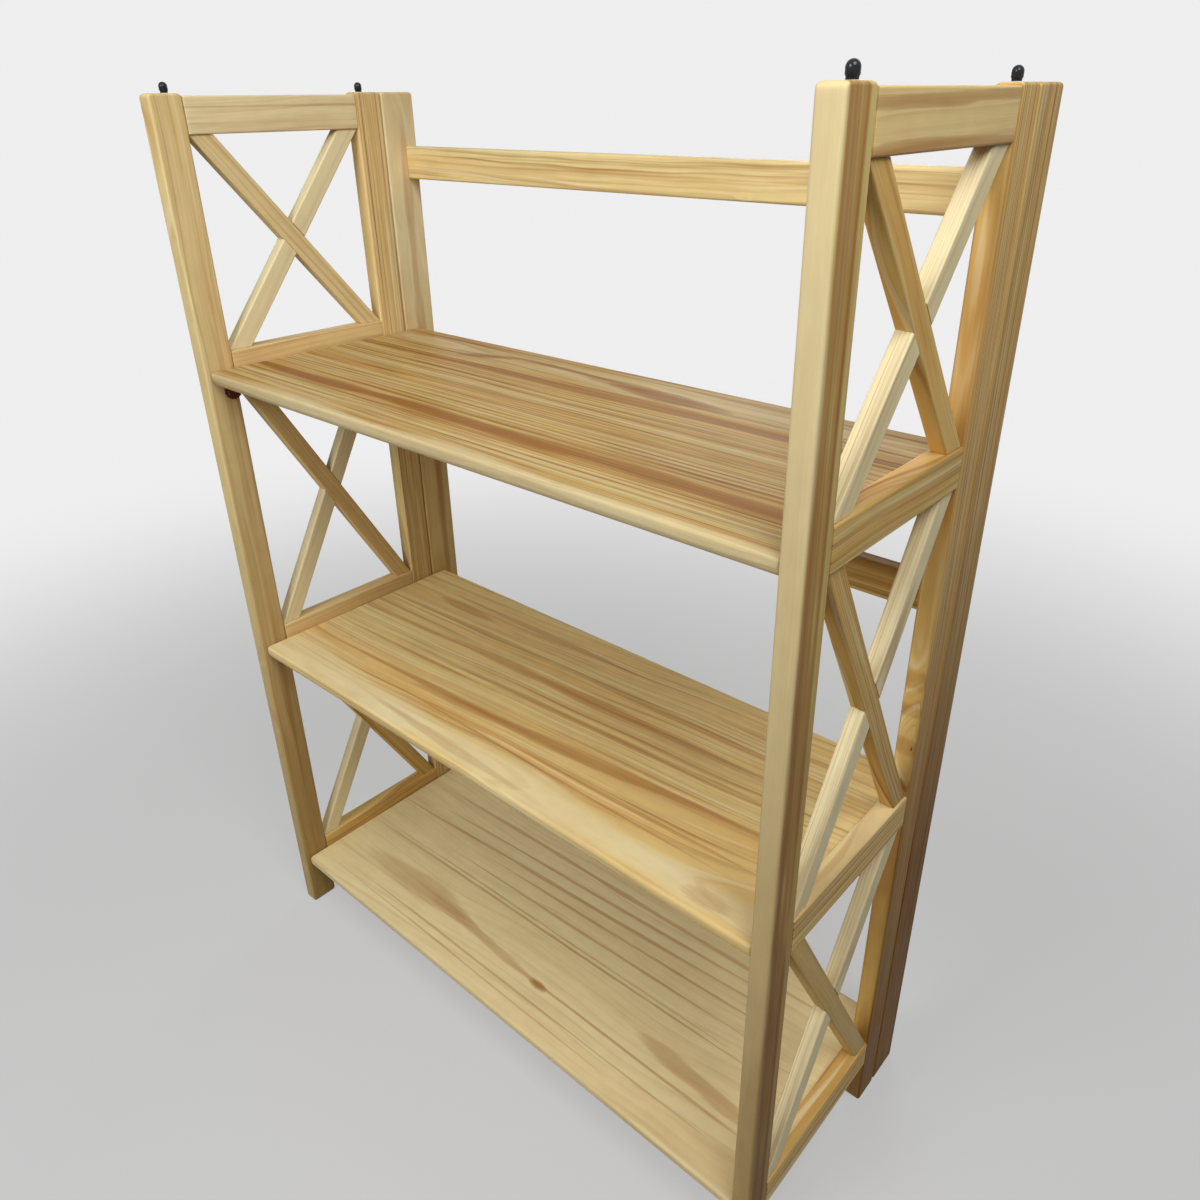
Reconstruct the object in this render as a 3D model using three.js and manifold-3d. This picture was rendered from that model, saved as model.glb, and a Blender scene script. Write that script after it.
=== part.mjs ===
// Folding bookcase of clear lacquered pine, standing open.
// Two side frames with crossed braces are hinged to a back frame, and three shelves tip up on rear pivots.
// All sizes are millimetres. X runs left to right, Y front to rear, Z up.
// The origin is on the floor under the middle of the bookcase.

import * as THREE from "three";
import { mergeVertices } from "three/addons/utils/BufferGeometryUtils.js";
import Module from "manifold-3d";

const wasm = await Module();
wasm.setup();

// Whole bookcase
const bookcaseWidth = 700;
const postHeight = 957;
const sideFrameDepth = 246.5;
const boardThickness = 17.5;
const foldGap = 0.8;

// Posts and stiles
const postWidth = 31.5;
const stileWidth = 41.5;
const postCornerRadius = 4;
const postEase = 2;

// Side rails, with stub tenons into the posts
const railHeight = 32;
const topRailDrop = 2;
const railAboveShelf = 16;
const railEase = 1.5;
const tenonThickness = 6;
const tenonShoulder = 7;
const tenonLength = 8;

// Crossed braces, halved together where they cross
const braceWidth = 19;
const braceThickness = 13;
const braceEase = 1.5;

// Back rails between the stiles
const backRailHeight = 32.5;
const backRailThickness = 15.5;
const backRailAboveShelf = 194;
const backRailEase = 2;
const backTenonThickness = 6;
const backTenonShoulder = 5;
const backTenonLength = 9;

// Shelves
const lowestShelfTop = 75;
const topShelfDrop = 247;
const shelfThickness = 14.5;
const shelfFrontSetback = 4.2;
const shelfRearGap = 6.9;
const shelfEndClearance = 1;
const shelfNoseRadius = 6.5;
const shelfRearRadius = 3.5;
const shelfEase = 2;

// Pins that the shelves' front corners rest on
const restPinSetback = 23.5;
const restPinRadius = 8;
const restPinReach = 8;
const restPinRounding = 1.5;
const restPinStemRadius = 2.5;
const restPinStemLength = 11;

// Pins that the shelves turn on
const pivotPinRadius = 2.5;
const pivotPinInStile = 12;
const pivotPinInShelf = 18;

// Stacking pegs on the tops of the posts
const pegRadius = 3.8;
const pegHeight = 9.3;
const pegSetback = 20;
const pegStemRadius = 2.75;
const pegStemLength = 8;

// Concealed hinges between the rear posts and the stiles
const hingeBarrelRadius = 5;
const hingeBarrelLength = 12;
const hingeLinkThickness = 2.4;
const hingeLinkHeight = 6;
const hingeLinkReach = 8;
const hingeHeightShares = [0.2, 0.8];

// Clearances
const glueLine = 0.3;
const socketFit = 0.3;
const overrun = 5;

// How finely round forms are divided
const easeSteps = 2;
const cornerSteps = 3;
const noseSteps = 5;
const pinSides = 20;
const domeSteps = 5;

// Places that follow from the sizes
const bookcaseDepth = sideFrameDepth + foldGap + stileWidth;
const innerFace = bookcaseWidth / 2 - boardThickness;
const boardMiddle = bookcaseWidth / 2 - boardThickness / 2;
const rearPostFront = sideFrameDepth - postWidth;
const stileFront = sideFrameDepth + foldGap;
const backRailFront = bookcaseDepth - backRailThickness;
const shelfRear = backRailFront - shelfRearGap;
const pivotDepth = shelfRear - shelfThickness / 2;
const levels = ["bottom", "middle", "top"];
const shelfPitch = (postHeight - topShelfDrop - lowestShelfTop) / (levels.length - 1);
const shelfTops = levels.map((level, index) => lowestShelfTop + index * shelfPitch);
const railTops = [...shelfTops.map((top) => top + railAboveShelf), postHeight - topRailDrop];
const railNames = ["bottom_rail", "lower_rail", "upper_rail", "top_rail"];
const hingeNames = ["lower_hinge", "upper_hinge"];

// Finishes
const palePine = new THREE.MeshStandardMaterial({ color: "#d9b879", roughness: 0.42, metalness: 0 });
const warmPine = new THREE.MeshStandardMaterial({ color: "#c99f5f", roughness: 0.42, metalness: 0 });
const blackPlastic = new THREE.MeshStandardMaterial({ color: "#141516", roughness: 0.22, metalness: 0 });
const bronzedSteel = new THREE.MeshStandardMaterial({ color: "#3a2018", roughness: 0.38, metalness: 0.7 });
const plainSteel = new THREE.MeshStandardMaterial({ color: "#9a9c9e", roughness: 0.35, metalness: 1 });
const brass = new THREE.MeshStandardMaterial({ color: "#b08d4a", roughness: 0.35, metalness: 1 });

// A closed geometry as a solid that can be cut and joined
function solidOf(geometry) {
  const bare = geometry.clone();
  bare.deleteAttribute("normal");
  bare.deleteAttribute("uv");
  const merged = mergeVertices(bare);
  const vertProperties = new Float32Array(merged.attributes.position.array);
  const triVerts = new Uint32Array(merged.index.array);
  return new wasm.Manifold(new wasm.Mesh({ numProp: 3, vertProperties, triVerts }));
}

// A solid back as a geometry with flat faces
function geometryOf(solid) {
  const mesh = solid.getMesh();
  const shared = new THREE.BufferGeometry();
  shared.setAttribute("position", new THREE.BufferAttribute(mesh.vertProperties, 3));
  shared.setIndex(new THREE.BufferAttribute(mesh.triVerts, 1));
  const geometry = shared.toNonIndexed();
  geometry.computeVertexNormals();
  return geometry;
}

// One geometry with others joined to it and others cut out of it
function carved(geometry, additions, cuts) {
  let solid = solidOf(geometry);
  for (const addition of additions) {
    solid = solid.add(solidOf(addition));
  }
  for (const cut of cuts) {
    solid = solid.subtract(solidOf(cut));
  }
  return geometryOf(solid);
}

// A geometry whose own x, y and z are laid along three given directions, and then moved
function laid(geometry, alongX, alongY, alongZ, place) {
  const turn = new THREE.Matrix4().makeBasis(alongX, alongY, alongZ);
  return geometry.clone().applyMatrix4(turn).translate(place.x, place.y, place.z);
}

const right = new THREE.Vector3(1, 0, 0);
const rearward = new THREE.Vector3(0, 1, 0);
const upward = new THREE.Vector3(0, 0, 1);
const forward = new THREE.Vector3(0, -1, 0);
const here = new THREE.Vector3(0, 0, 0);

// An outline that runs through its points, with each corner rounded by its own radius
function roundedOutline(corners) {
  const shape = new THREE.Shape();
  corners.forEach((corner, index) => {
    const before = corners[(index + corners.length - 1) % corners.length];
    const after = corners[(index + 1) % corners.length];
    const from = before.point.clone().sub(corner.point).normalize();
    const to = after.point.clone().sub(corner.point).normalize();
    const start = corner.point.clone().addScaledVector(from, corner.radius);
    const end = corner.point.clone().addScaledVector(to, corner.radius);
    if (index === 0) {
      shape.moveTo(start.x, start.y);
    } else {
      shape.lineTo(start.x, start.y);
    }
    if (corner.radius > 0) {
      const turnBy = Math.PI / 2;
      const middle = corner.point.clone().addScaledVector(from, corner.radius);
      middle.addScaledVector(to, corner.radius);
      const startAngle = Math.atan2(start.y - middle.y, start.x - middle.x);
      shape.absarc(middle.x, middle.y, corner.radius, startAngle, startAngle + turnBy, false);
    }
  });
  shape.closePath();
  return shape;
}

// A rectangle from zero, with one radius at each of its corners, starting at the origin and going round
function rectangleOutline(width, height, radii) {
  const points = [[0, 0], [width, 0], [width, height], [0, height]];
  const room = Math.min(width, height) / 2;
  const corners = points.map((point, index) => {
    return { point: new THREE.Vector2(...point), radius: Math.min(radii[index], room) };
  });
  return roundedOutline(corners);
}

// A board: an outline given a thickness about its middle, with its long edges eased
function boardOf(outline, thickness, ease) {
  const geometry = new THREE.ExtrudeGeometry(outline, {
    depth: thickness - 2 * ease,
    bevelEnabled: ease > 0,
    bevelThickness: ease,
    bevelSize: ease,
    bevelOffset: -ease,
    bevelSegments: easeSteps,
    curveSegments: cornerSteps,
  });
  return geometry.translate(0, 0, ease - thickness / 2);
}

// A box between two corners
function boxBetween(low, high) {
  const size = high.clone().sub(low);
  const middle = high.clone().add(low).multiplyScalar(1 / 2);
  return new THREE.BoxGeometry(size.x, size.y, size.z).translate(middle.x, middle.y, middle.z);
}

// A round bar between two points
function rodBetween(start, end, radius) {
  const along = end.clone().sub(start);
  const bar = new THREE.CylinderGeometry(radius, radius, along.length(), pinSides);
  const turn = new THREE.Quaternion().setFromUnitVectors(rearward, along.clone().normalize());
  const middle = start.clone().add(end).multiplyScalar(1 / 2);
  return bar.applyQuaternion(turn).translate(middle.x, middle.y, middle.z);
}

function namedMesh(name, geometry, material) {
  const mesh = new THREE.Mesh(geometry, material.clone());
  mesh.name = name;
  return mesh;
}

// A board that stands in the plane of a side frame: width rearward, height up, thickness across
function standingBoard(width, height, thickness, radius, ease) {
  const outline = rectangleOutline(width, height, [radius, radius, radius, radius]);
  return laid(boardOf(outline, thickness, ease), rearward, upward, right, here);
}

const railTenonHeight = railHeight - 2 * tenonShoulder;

// The pocket that a side rail's tenon enters, in a post whose face is at faceY and whose wood is that way
function railMortise(faceY, intoPost, railTop) {
  const halfThick = tenonThickness / 2 + socketFit;
  const bottom = new THREE.Vector3(-halfThick, faceY, railTop - tenonShoulder - railTenonHeight - socketFit);
  const top = new THREE.Vector3(halfThick, faceY, railTop - tenonShoulder + socketFit);
  const outside = faceY - intoPost * overrun;
  const inside = faceY + intoPost * (tenonLength + glueLine);
  bottom.y = Math.min(outside, inside);
  top.y = Math.max(outside, inside);
  return boxBetween(bottom, top);
}

// The blind hole for a peg, in a post's top
function pegSocket(setback) {
  const floor = new THREE.Vector3(0, setback, postHeight - pegStemLength - socketFit);
  const mouth = new THREE.Vector3(0, setback, postHeight + overrun);
  return rodBetween(floor, mouth, pegStemRadius + socketFit);
}

// Heights that pins, shelves and hinges share
const restPinHeights = shelfTops.map((top) => top - shelfThickness - glueLine - restPinRadius);
const hingeHeights = hingeHeightShares.map((share) => share * postHeight);

// The front post, with pockets for four rails, a peg and three rest pins on its inner face
function frontPost(inward) {
  const cuts = railTops.map((top) => railMortise(postWidth, -1, top));
  cuts.push(pegSocket(pegSetback));
  for (const height of restPinHeights) {
    const floor = boardThickness / 2 - restPinStemLength - socketFit;
    const deep = new THREE.Vector3(inward * floor, restPinSetback, height);
    const mouth = new THREE.Vector3(inward * (boardThickness / 2 + overrun), restPinSetback, height);
    cuts.push(rodBetween(deep, mouth, restPinStemRadius + socketFit));
  }
  const blank = standingBoard(postWidth, postHeight, boardThickness, postCornerRadius, postEase);
  return carved(blank, [], cuts);
}

// A hinge barrel's bore, from a face at faceY into the wood
function barrelBore(faceY, intoWood, height) {
  const mouth = new THREE.Vector3(0, faceY - intoWood * overrun, height);
  const deep = new THREE.Vector3(0, faceY + intoWood * (hingeBarrelLength + socketFit), height);
  return rodBetween(mouth, deep, hingeBarrelRadius + socketFit);
}

// The rear post, with pockets for four rails, a peg and the hinge barrels
function rearPost() {
  const cuts = railTops.map((top) => railMortise(0, 1, top));
  cuts.push(pegSocket(postWidth - pegSetback));
  for (const height of hingeHeights) {
    cuts.push(barrelBore(postWidth, -1, height));
  }
  const blank = standingBoard(postWidth, postHeight, boardThickness, postCornerRadius, postEase);
  return carved(blank, [], cuts);
}

const sideRailLength = sideFrameDepth - 2 * postWidth - 2 * glueLine;

// A side rail with a stub tenon at each end
function sideRail() {
  const blank = standingBoard(sideRailLength, railHeight, boardThickness, 0, railEase);
  const halfThick = tenonThickness / 2;
  const root = railEase + overrun;
  const low = new THREE.Vector3(-halfThick, -tenonLength, tenonShoulder);
  const high = new THREE.Vector3(halfThick, root, railHeight - tenonShoulder);
  const frontTenon = boxBetween(low, high);
  const lowRear = new THREE.Vector3(-halfThick, sideRailLength - root, tenonShoulder);
  const highRear = new THREE.Vector3(halfThick, sideRailLength + tenonLength, railHeight - tenonShoulder);
  const rearTenon = boxBetween(lowRear, highRear);
  return carved(blank, [frontTenon, rearTenon], []);
}

const panelWidth = sideRailLength;

// How wide a brace's level end is, so that it fills two corners of a panel of this height
function braceFoot(panelHeight) {
  const spread = Math.sqrt(panelWidth ** 2 + panelHeight ** 2 - braceWidth ** 2);
  const excess = panelHeight * spread - braceWidth * panelWidth;
  return braceWidth * excess / (panelHeight ** 2 - braceWidth ** 2);
}

// The outline of a brace that falls from front top to rear bottom, or rises the other way
function braceOutline(panelHeight, falls, grow, extend) {
  const foot = braceFoot(panelHeight);
  const slope = (panelWidth - foot) / panelHeight;
  const side = grow * foot / braceWidth;
  const lowZ = -extend;
  const highZ = panelHeight + extend;
  const middleAt = (z) => {
    const drop = (panelHeight - z) * slope;
    return falls ? foot / 2 + drop : panelWidth - foot / 2 - drop;
  };
  const shape = new THREE.Shape();
  shape.moveTo(middleAt(lowZ) - foot / 2 - side, lowZ);
  shape.lineTo(middleAt(lowZ) + foot / 2 + side, lowZ);
  shape.lineTo(middleAt(highZ) + foot / 2 + side, highZ);
  shape.lineTo(middleAt(highZ) - foot / 2 - side, highZ);
  shape.closePath();
  return shape;
}

// One brace, halved where the other crosses it: the falling one keeps its right half, the rising one its left
function brace(panelHeight, falls) {
  const outline = braceOutline(panelHeight, falls, 0, 0);
  const blank = laid(boardOf(outline, braceThickness, braceEase), rearward, upward, right, here);
  const other = braceOutline(panelHeight, !falls, socketFit, overrun);
  const depth = braceThickness / 2 + overrun + socketFit / 2;
  const slab = new THREE.ExtrudeGeometry(other, { depth, bevelEnabled: false });
  const start = falls ? -braceThickness / 2 - overrun : -socketFit / 2;
  const notch = laid(slab, rearward, upward, right, new THREE.Vector3(start, 0, 0));
  return carved(blank, [], [notch]);
}

// A peg with a domed head that stands on a post and a stem that goes down into it
function stackingPeg() {
  const shoulder = pegHeight - pegRadius;
  const profile = new THREE.Path();
  profile.moveTo(0, -pegStemLength);
  profile.lineTo(pegStemRadius, -pegStemLength);
  profile.lineTo(pegStemRadius, glueLine);
  profile.lineTo(pegRadius, glueLine);
  profile.lineTo(pegRadius, shoulder);
  profile.absarc(0, shoulder, pegRadius, 0, Math.PI / 2, false);
  const points = profile.getPoints(domeSteps);
  points[points.length - 1].x = 0;
  const lathe = new THREE.LatheGeometry(points, pinSides);
  return laid(lathe, right, upward, forward, here);
}

// A rest pin: a round head with a softened rim, and a stem into the post
function restPin(inward) {
  const rim = restPinReach - restPinRounding;
  const profile = new THREE.Path();
  profile.moveTo(0, -restPinStemLength);
  profile.lineTo(restPinStemRadius, -restPinStemLength);
  profile.lineTo(restPinStemRadius, glueLine);
  profile.lineTo(restPinRadius, glueLine);
  profile.lineTo(restPinRadius, rim);
  profile.absarc(restPinRadius - restPinRounding, rim, restPinRounding, 0, Math.PI / 2, false);
  profile.lineTo(0, restPinReach);
  const lathe = new THREE.LatheGeometry(profile.getPoints(cornerSteps), pinSides);
  const reach = right.clone().multiplyScalar(inward);
  const across = upward.clone().multiplyScalar(inward);
  return laid(lathe, rearward, reach, across.negate(), here);
}

// The half of a hinge in a rear post: a barrel, with a flat link that reaches out of it into the stile
function postHingeHalf() {
  const deep = new THREE.Vector3(0, -hingeBarrelLength, 0);
  const barrel = rodBetween(deep, here, hingeBarrelRadius);
  const low = new THREE.Vector3(-hingeLinkThickness / 2, -hingeLinkReach, -hingeLinkHeight / 2);
  const high = new THREE.Vector3(hingeLinkThickness / 2, foldGap + hingeLinkReach, hingeLinkHeight / 2);
  return carved(barrel, [boxBetween(low, high)], []);
}

// The half of a hinge in a stile: a barrel with a slot for the link
function stileHingeHalf() {
  const deep = new THREE.Vector3(0, hingeBarrelLength, 0);
  const barrel = rodBetween(here, deep, hingeBarrelRadius);
  const halfThick = hingeLinkThickness / 2 + socketFit;
  const halfTall = hingeLinkHeight / 2 + socketFit;
  const low = new THREE.Vector3(-halfThick, -overrun, -halfTall);
  const high = new THREE.Vector3(halfThick, hingeLinkReach + socketFit, halfTall);
  return carved(barrel, [], [boxBetween(low, high)]);
}

// A whole side frame, with its pegs, rest pins and its half of the hinges
function sideFrame(side, inward) {
  const frame = new THREE.Group();
  const front = namedMesh(`${side}_front_post`, frontPost(inward), palePine);
  const rear = namedMesh(`${side}_rear_post`, rearPost(), warmPine);
  rear.position.y = rearPostFront;
  frame.add(front, rear);
  railNames.forEach((railName, index) => {
    const rail = namedMesh(`${side}_${railName}`, sideRail(), warmPine);
    rail.position.set(0, postWidth + glueLine, railTops[index] - railHeight);
    frame.add(rail);
  });
  levels.forEach((level, index) => {
    const panelBottom = railTops[index] + glueLine;
    const panelHeight = railTops[index + 1] - railHeight - glueLine - panelBottom;
    const falling = namedMesh(`${side}_${level}_falling_brace`, brace(panelHeight, true), palePine);
    const rising = namedMesh(`${side}_${level}_rising_brace`, brace(panelHeight, false), palePine);
    for (const piece of [falling, rising]) {
      piece.position.set(0, postWidth + glueLine, panelBottom);
      frame.add(piece);
    }
    const pin = namedMesh(`${side}_${level}_rest_pin`, restPin(inward), bronzedSteel);
    pin.position.set(inward * boardThickness / 2, restPinSetback, restPinHeights[index]);
    frame.add(pin);
  });
  for (const [end, place] of [["front", pegSetback], ["rear", sideFrameDepth - pegSetback]]) {
    const peg = namedMesh(`${side}_${end}_peg`, stackingPeg(), blackPlastic);
    peg.position.set(0, place, postHeight);
    frame.add(peg);
  }
  hingeNames.forEach((hingeName, index) => {
    const half = namedMesh(`${side}_${hingeName}_post_half`, postHingeHalf(), brass);
    half.position.set(0, sideFrameDepth, hingeHeights[index]);
    frame.add(half);
  });
  return frame;
}

const backTenonHeight = backRailHeight - 2 * backTenonShoulder;
const backRailTops = shelfTops.map((top) => top + backRailAboveShelf);
const backRailMiddle = backRailFront + backRailThickness / 2;
const pivotHeights = shelfTops.map((top) => top - shelfThickness / 2);

// A stile of the back frame, with pockets for three back rails, three pivot pins and the hinge barrels
function stile(inward) {
  const cuts = [];
  const face = inward * boardThickness / 2;
  const outside = face + inward * overrun;
  const halfThick = backTenonThickness / 2 + socketFit;
  const railMiddle = backRailMiddle - stileFront;
  for (const railTop of backRailTops) {
    const inside = face - inward * (backTenonLength + glueLine);
    const bottom = railTop - backTenonShoulder - backTenonHeight - socketFit;
    const low = new THREE.Vector3(Math.min(outside, inside), railMiddle - halfThick, bottom);
    const top = railTop - backTenonShoulder + socketFit;
    const high = new THREE.Vector3(Math.max(outside, inside), railMiddle + halfThick, top);
    cuts.push(boxBetween(low, high));
  }
  for (const height of pivotHeights) {
    const floor = face - inward * (pivotPinInStile + socketFit);
    const deep = new THREE.Vector3(floor, pivotDepth - stileFront, height);
    const mouth = new THREE.Vector3(outside, pivotDepth - stileFront, height);
    cuts.push(rodBetween(deep, mouth, pivotPinRadius + socketFit));
  }
  for (const height of hingeHeights) {
    cuts.push(barrelBore(0, 1, height));
  }
  const blank = standingBoard(stileWidth, postHeight, boardThickness, postCornerRadius, postEase);
  return carved(blank, [], cuts);
}

// A back rail with a stub tenon at each end
function backRail() {
  const length = 2 * (innerFace - glueLine);
  const outline = rectangleOutline(length, backRailHeight, [0, 0, 0, 0]);
  const board = boardOf(outline, backRailThickness, backRailEase);
  const blank = laid(board, right, upward, forward, new THREE.Vector3(-length / 2, 0, 0));
  const halfThick = backTenonThickness / 2;
  const reach = length / 2 + backTenonLength;
  const low = new THREE.Vector3(-reach, -halfThick, backTenonShoulder);
  const high = new THREE.Vector3(reach, halfThick, backRailHeight - backTenonShoulder);
  return carved(blank, [boxBetween(low, high)], []);
}

// The back frame: two stiles, three rails, the stiles' half of the hinges and the pivot pins
function backFrame() {
  const frame = new THREE.Group();
  levels.forEach((level, index) => {
    const rail = namedMesh(`${level}_back_rail`, backRail(), palePine);
    rail.position.set(0, backRailMiddle - stileFront, backRailTops[index] - backRailHeight);
    frame.add(rail);
  });
  for (const [side, outward] of [["left", -1], ["right", 1]]) {
    const upright = namedMesh(`${side}_stile`, stile(-outward), warmPine);
    upright.position.x = outward * boardMiddle;
    frame.add(upright);
    hingeNames.forEach((hingeName, index) => {
      const half = namedMesh(`${side}_${hingeName}_stile_half`, stileHingeHalf(), brass);
      half.position.set(outward * boardMiddle, 0, hingeHeights[index]);
      frame.add(half);
    });
    levels.forEach((level, index) => {
      const tip = new THREE.Vector3(outward * (innerFace + pivotPinInStile), 0, 0);
      const inner = innerFace - shelfEndClearance - pivotPinInShelf;
      const end = new THREE.Vector3(outward * inner, 0, 0);
      const rod = rodBetween(end, tip, pivotPinRadius);
      const pin = namedMesh(`${side}_${level}_pivot_pin`, rod, plainSteel);
      pin.position.set(0, pivotDepth - stileFront, pivotHeights[index]);
      frame.add(pin);
    });
  }
  frame.position.y = stileFront;
  return frame;
}

// A shelf with a rounded front edge, drilled at its rear ends for the pivot pins
function shelf() {
  const depth = shelfRear - shelfFrontSetback;
  const length = 2 * (innerFace - shelfEndClearance);
  const nose = Math.min(shelfNoseRadius, shelfThickness / 2 - glueLine);
  const radii = [nose, shelfRearRadius, shelfRearRadius, nose];
  const outline = rectangleOutline(depth, shelfThickness, radii);
  const geometry = new THREE.ExtrudeGeometry(outline, {
    depth: length - 2 * shelfEase,
    bevelThickness: shelfEase,
    bevelSize: shelfEase,
    bevelOffset: -shelfEase,
    bevelSegments: easeSteps,
    curveSegments: noseSteps,
  });
  const place = new THREE.Vector3(shelfEase - length / 2, 0, -shelfThickness);
  const blank = laid(geometry, rearward, upward, right, place);
  const cuts = [-1, 1].map((outward) => {
    const floor = outward * (length / 2 - pivotPinInShelf - socketFit);
    const mouth = outward * (length / 2 + overrun);
    const pivotY = pivotDepth - shelfFrontSetback;
    const deep = new THREE.Vector3(floor, pivotY, -shelfThickness / 2);
    const outside = new THREE.Vector3(mouth, pivotY, -shelfThickness / 2);
    return rodBetween(deep, outside, pivotPinRadius + socketFit);
  });
  return carved(blank, [], cuts);
}

const bookcase = new THREE.Group();
bookcase.name = "folding_bookcase";
const standing = new THREE.Group();
standing.position.y = -bookcaseDepth / 2;

const leftFrame = sideFrame("left", 1);
leftFrame.position.x = -boardMiddle;
const rightFrame = sideFrame("right", -1);
rightFrame.position.x = boardMiddle;
standing.add(leftFrame, rightFrame, backFrame());

levels.forEach((level, index) => {
  const board = namedMesh(`${level}_shelf`, shelf(), palePine);
  board.position.set(0, shelfFrontSetback, shelfTops[index]);
  standing.add(board);
});

bookcase.add(standing);

export default bookcase;
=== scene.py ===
"""Folding bookcase of clear-lacquered pine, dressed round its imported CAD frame.

Every wooden piece is a board: a rounded rectangle carried along a straight line, drawn in at its ends.
The wood's figure is worked out on each board from where its tree's middle lies, so its lines run with
the board and turn over its edges. The pieces' lengths are millimetres until a mesh is filled.
"""

import math
from functools import partial

import bpy
import numpy as np
from bpy.props import FloatProperty, FloatVectorProperty, IntProperty, PointerProperty
from bpy.types import Operator, Panel, PropertyGroup
from mathutils import Matrix, Vector


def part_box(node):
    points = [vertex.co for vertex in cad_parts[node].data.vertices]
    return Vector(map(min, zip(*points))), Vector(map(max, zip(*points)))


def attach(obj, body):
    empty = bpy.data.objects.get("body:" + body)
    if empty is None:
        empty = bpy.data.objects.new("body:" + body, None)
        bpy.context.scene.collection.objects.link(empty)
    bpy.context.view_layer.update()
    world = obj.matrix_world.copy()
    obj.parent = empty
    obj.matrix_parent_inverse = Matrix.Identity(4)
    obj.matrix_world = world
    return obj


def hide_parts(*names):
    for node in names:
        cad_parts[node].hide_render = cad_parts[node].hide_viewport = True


bl_info = {
    "name": "Folding Pine Bookcase",
    "version": (1, 0, 0),
    "blender": (4, 5, 0),
    "location": "View3D > Sidebar > Bookcase",
    "description": "Dresses a folding bookcase in clear-lacquered pine, with its pegs and pins",
    "category": "Add Mesh",
}

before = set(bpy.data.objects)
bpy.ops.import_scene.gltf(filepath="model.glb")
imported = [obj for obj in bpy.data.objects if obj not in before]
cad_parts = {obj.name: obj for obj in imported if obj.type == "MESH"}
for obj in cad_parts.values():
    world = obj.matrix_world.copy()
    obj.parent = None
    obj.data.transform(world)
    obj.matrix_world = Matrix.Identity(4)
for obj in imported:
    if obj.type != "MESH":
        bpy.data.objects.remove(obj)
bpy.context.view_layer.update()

MM = 0.001
SIDES = ("left", "right")
LEVELS = ("bottom", "middle", "top")
UPRIGHTS = ("front_post", "rear_post", "stile")
RAILS = ("bottom_rail", "lower_rail", "upper_rail", "top_rail")
X, Y, Z = np.eye(3)


def linear(hex_colour):
    """The linear RGBA of an sRGB hex colour: ((c + 0.055) / 1.055) to the power 2.4, or c / 12.92 if dark."""
    parts = np.array([int(hex_colour[i:i + 2], 16) for i in (1, 3, 5)]) / 255
    low, high = parts / 12.92, ((parts + 0.055) / 1.055) ** 2.4
    return tuple(float(c) for c in np.where(parts <= 0.04045, low, high)) + (1.0,)


def hue(name, hex_colour, description):
    """A colour setting with its default written in sRGB hex."""
    return FloatVectorProperty(name=name, description=description, default=linear(hex_colour), size=4,
                               subtype="COLOR", min=0.0, max=1.0)


def measure(name, millimetres, description):
    """A length setting with its default written in millimetres."""
    return FloatProperty(name=name, description=description, default=millimetres * MM, min=0.0001,
                         subtype="DISTANCE", unit="LENGTH", precision=4)


# The look of each board, in millimetres from its middle. pitch is the width of a year's growth. pith is where
# the tree's middle lies, across the board and through it. warmth goes from straw to orange, contrast is how
# dark the summer wood is, wander how far its lines stray, lean how far they turn from the board's own direction,
# aged how much browner the whole board is, partly with age and partly as painted shade, and foot how
# much browner its low end is, on most faces and on the face toward +X, which is painted shade. A figure is a
# tongue in the lines: place along and across, half length, half width, and rise in rings. A stroke is a stain,
# or paler sapwood if its depth is below zero, which on some boards is partly painted light: place along and
# across, half length, half width, lean, depth. A knot is a place along and across, a radius, how far it bends
# the lines and by how many rings, and whether it lies on the narrow front face, where its second place is
# through the board. The seed picks the board's own waves and noise. What a board doesn't state is as in PLAIN.
PLAIN = {"lean": 0.0, "foot": (0.0, 0.0), "aged": 0.0, "figures": (), "strokes": (), "knots": ()}
# Half the length of a stroke that runs past both ends of any board, and half the width of one that covers it
PAST_ENDS, PAST_EDGES = 900, 60


def band(side, wide, depth):
    """A stroke along the whole board."""
    return 0, side, PAST_ENDS, wide, 0, depth


def wash(depth):
    """A stroke over the whole of a post, rail or brace."""
    return band(0, PAST_EDGES, depth)


def pine(**own):
    """The look of a board: its own settings, over a plain one's."""
    return {**PLAIN, **own}


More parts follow.
